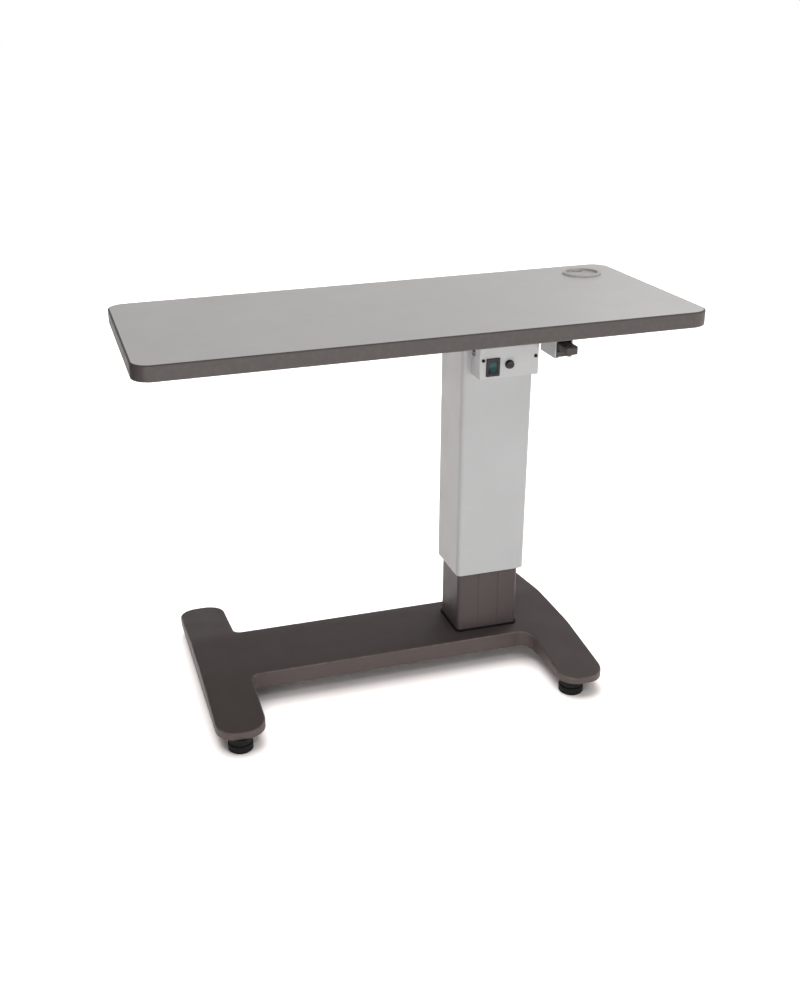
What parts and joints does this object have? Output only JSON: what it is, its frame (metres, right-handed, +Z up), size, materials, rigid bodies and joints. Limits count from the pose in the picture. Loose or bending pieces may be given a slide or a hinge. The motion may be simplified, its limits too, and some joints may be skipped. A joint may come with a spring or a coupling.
{
  "type": "motorised instrument table",
  "caption": "Height-adjustable instrument table: wide rounded top on an offset telescopic column, H-shaped cast base on levelling feet, rocker switch, fuse and height lever.",
  "frame": {"origin": "on the floor, below the middle of the table top", "axes": "+Z up, +X along the table top towards the column's end, +Y to the back, away from the switch panel"},
  "size_m": [0.906, 0.444, 0.6535],
  "materials": {
    "laminate_grey": "satin, light grey high-pressure laminate",
    "backing_grey": "matt, grey backing laminate",
    "edge_grey": "satin, dark warm grey edge band",
    "board": "raw particle board",
    "grommet_grey": "satin, light grey moulded plastic",
    "zinc_steel": "zinc plated",
    "column_paint": "light grey powder coat",
    "panel_paint": "white powder coat",
    "inner_paint": "dark grey satin paint",
    "base_paint": "cast iron, dark warm grey textured paint",
    "rubber": "black rubber",
    "black_plastic": "black moulded plastic, fine texture",
    "black_screw": "blackened steel",
    "acetal": "natural acetal",
    "motor_steel": "black coated steel",
    "gearbox_metal": "die cast",
    "bright_steel": "ground steel",
    "brass": "turned brass",
    "rocker_green": "translucent dark teal",
    "fuse_glass": "clear glass",
    "circuit_green": "solder resist"
  },
  "bodies": {
    "base": {"base_casting": "base_paint", "column_bolts": "zinc_steel", "column_gasket": "rubber", "column_foot_plate": "bright_steel", "inner_column": "inner_paint", "upper_glide_pads": "acetal", "lower_clevis": "zinc_steel", "lower_clevis_pin": "bright_steel", "push_tube": "bright_steel", "spindle_nut": "brass"},
    "lift": {"table_top_core": "board", "top_laminate": "laminate_grey", "backing_laminate": "backing_grey", "edge_band": "edge_grey", "grommet_sleeve": "grommet_grey", "head_plate": "motor_steel", "head_plate_screws": "zinc_steel", "column_front_shell": "column_paint", "column_rear_cover": "column_paint", "column_cover_screws": "black_screw", "head_plate_bolts": "zinc_steel", "lower_glide_frame": "black_plastic", "upper_clevis": "zinc_steel", "upper_clevis_pin": "bright_steel", "actuator_tube": "gearbox_metal", "tube_guide_bush": "acetal", "gearbox_housing": "gearbox_metal", "gearbox_cover": "gearbox_metal", "spindle_bearing": "bright_steel", "motor_housing": "motor_steel", "motor_end_cap": "black_plastic", "switch_panel": "panel_paint", "switch_bracket": "zinc_steel", "switch_panel_screws": "black_screw", "rocker_switch_body": "black_plastic", "fuse_holder": "black_plastic", "control_board": "circuit_green", "mains_inlet": "black_plastic", "mains_inlet_pins": "brass", "lever_bracket": "panel_paint", "lever_bracket_screws": "zinc_steel", "lever_housing": "black_plastic", "lever_pivot_pin": "bright_steel", "lever_microswitches": "black_plastic"},
    "spindle": {"spindle": "bright_steel", "spindle_gear": "acetal"},
    "motor_pinion": {"motor_pinion": "bright_steel"},
    "grommet_cap": {"grommet_cap": "grommet_grey"},
    "rocker": {"rocker": "rocker_green"},
    "fuse": {"fuse": "fuse_glass"},
    "fuse_cap": {"fuse_cap": "black_plastic"},
    "lever_paddle": {"lever_paddle": "black_plastic"},
    "foot_pad_front_left": {"foot_pad_front_left": "rubber"},
    "foot_stud_front_left": {"foot_stud_front_left": "black_plastic"},
    "foot_pad_rear_left": {"foot_pad_rear_left": "rubber"},
    "foot_stud_rear_left": {"foot_stud_rear_left": "black_plastic"},
    "foot_pad_front_right": {"foot_pad_front_right": "rubber"},
    "foot_stud_front_right": {"foot_stud_front_right": "black_plastic"},
    "foot_pad_rear_right": {"foot_pad_rear_right": "rubber"},
    "foot_stud_rear_right": {"foot_stud_rear_right": "black_plastic"}
  },
  "joints": [
    {"name": "lift_slide", "type": "slide", "parent": "base", "child": "lift", "axis": [0, 0, 1], "range_m": [0, 0.2]},
    {"name": "spindle_turn", "type": "hinge", "parent": "lift", "child": "spindle", "pos_m": [0.142, 0, 0.4], "axis": [0, 0, 1], "range_deg": [0, 18000]},
    {"name": "motor_pinion_turn", "type": "hinge", "parent": "lift", "child": "motor_pinion", "pos_m": [0.172, 0, 0.53], "axis": [0, 0, 1], "range_deg": [-72000, 0]},
    {"name": "grommet_cap_turn", "type": "hinge", "parent": "lift", "child": "grommet_cap", "pos_m": [0.381, 0.12, 0.6485], "axis": [0, 0, 1], "continuous": true},
    {"name": "rocker_tilt", "type": "hinge", "parent": "lift", "child": "rocker", "pos_m": [0.1282, -0.0877, 0.5628], "axis": [1, 0, 0], "range_deg": [0, 20]},
    {"name": "fuse_slide", "type": "slide", "parent": "lift", "child": "fuse", "axis": [0, -1, 0], "range_m": [0, 0.005]},
    {"name": "fuse_cap_turn", "type": "hinge", "parent": "fuse", "child": "fuse_cap", "pos_m": [0.1565, -0.09, 0.5654], "axis": [0, -1, 0], "range_deg": [0, 1440]},
    {"name": "lever_tilt", "type": "hinge", "parent": "lift", "child": "lever_paddle", "pos_m": [0.22165, -0.132, 0.605], "axis": [1, 0, 0], "range_deg": [-8, 8], "stiffness_Nm_per_rad": 0.5},
    {"name": "foot_height_front_left", "type": "slide", "parent": "base", "child": "foot_pad_front_left", "axis": [0, 0, -1], "range_m": [0, 0.006]},
    {"name": "foot_turn_front_left", "type": "hinge", "parent": "foot_pad_front_left", "child": "foot_stud_front_left", "pos_m": [-0.334, -0.196, 0.025], "axis": [0, 0, -1], "range_deg": [0, 1440]},
    {"name": "foot_height_rear_left", "type": "slide", "parent": "base", "child": "foot_pad_rear_left", "axis": [0, 0, -1], "range_m": [0, 0.006]},
    {"name": "foot_turn_rear_left", "type": "hinge", "parent": "foot_pad_rear_left", "child": "foot_stud_rear_left", "pos_m": [-0.334, 0.196, 0.025], "axis": [0, 0, -1], "range_deg": [0, 1440]},
    {"name": "foot_height_front_right", "type": "slide", "parent": "base", "child": "foot_pad_front_right", "axis": [0, 0, -1], "range_m": [0, 0.006]},
    {"name": "foot_turn_front_right", "type": "hinge", "parent": "foot_pad_front_right", "child": "foot_stud_front_right", "pos_m": [0.2495, -0.196, 0.025], "axis": [0, 0, -1], "range_deg": [0, 1440]},
    {"name": "foot_height_rear_right", "type": "slide", "parent": "base", "child": "foot_pad_rear_right", "axis": [0, 0, -1], "range_m": [0, 0.006]},
    {"name": "foot_turn_rear_right", "type": "hinge", "parent": "foot_pad_rear_right", "child": "foot_stud_rear_right", "pos_m": [0.2495, 0.196, 0.025], "axis": [0, 0, -1], "range_deg": [0, 1440]}
  ],
  "couplings": [
    {"joint": "spindle_turn", "follows": "lift_slide", "rad_per_m": 1570.8},
    {"joint": "motor_pinion_turn", "follows": "lift_slide", "rad_per_m": -6283.2},
    {"joint": "fuse_cap_turn", "follows": "fuse_slide", "rad_per_m": 5026.5},
    {"joint": "foot_turn_front_left", "follows": "foot_height_front_left", "rad_per_m": 4188.8},
    {"joint": "foot_turn_rear_left", "follows": "foot_height_rear_left", "rad_per_m": 4188.8},
    {"joint": "foot_turn_front_right", "follows": "foot_height_front_right", "rad_per_m": 4188.8},
    {"joint": "foot_turn_rear_right", "follows": "foot_height_rear_right", "rad_per_m": 4188.8}
  ]
}
